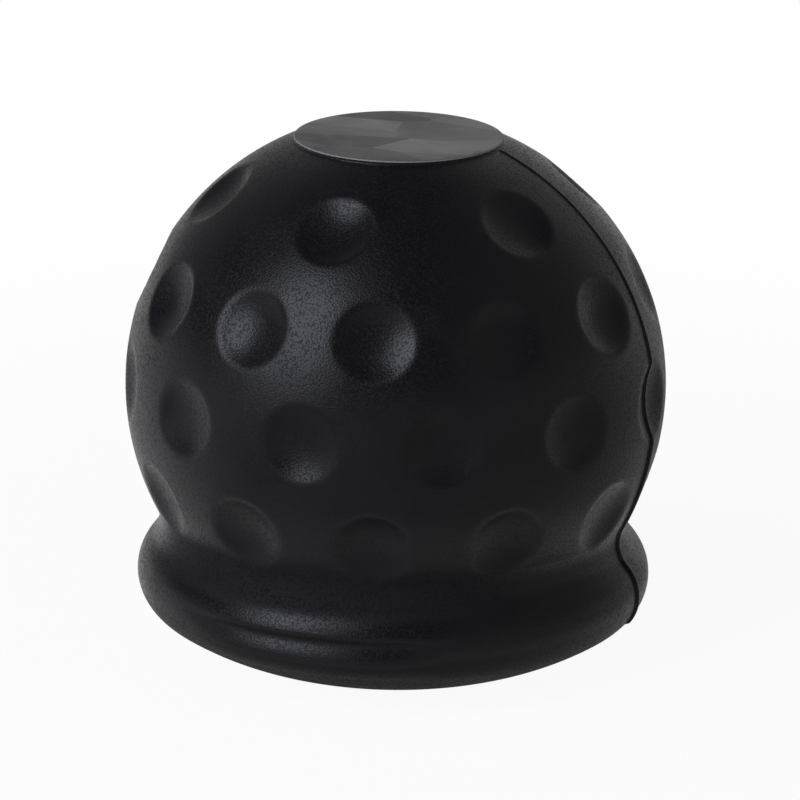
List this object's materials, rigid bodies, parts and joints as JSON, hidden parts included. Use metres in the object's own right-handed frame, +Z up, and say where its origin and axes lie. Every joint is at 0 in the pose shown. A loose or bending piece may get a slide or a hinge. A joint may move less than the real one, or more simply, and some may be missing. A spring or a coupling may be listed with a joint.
{
  "type": "tow ball cover",
  "caption": "Hollow dimpled rubber ball with a flat crown, a beaded lip and a narrow throat, pushed over a tow ball to keep its grease in and the weather out.",
  "frame": {"origin": "on the axis, at the level of the foot that the cover stands on", "axes": "+Z up along the axis to the flat crown, +X towards one of the two ribs that the mould's parting leaves"},
  "size_m": [0.0622, 0.0616, 0.06],
  "materials": {
    "cover_rubber": "satin moulded black with a fine grain"
  },
  "bodies": {
    "root": {"cover": "cover_rubber"}
  },
  "joints": []
}
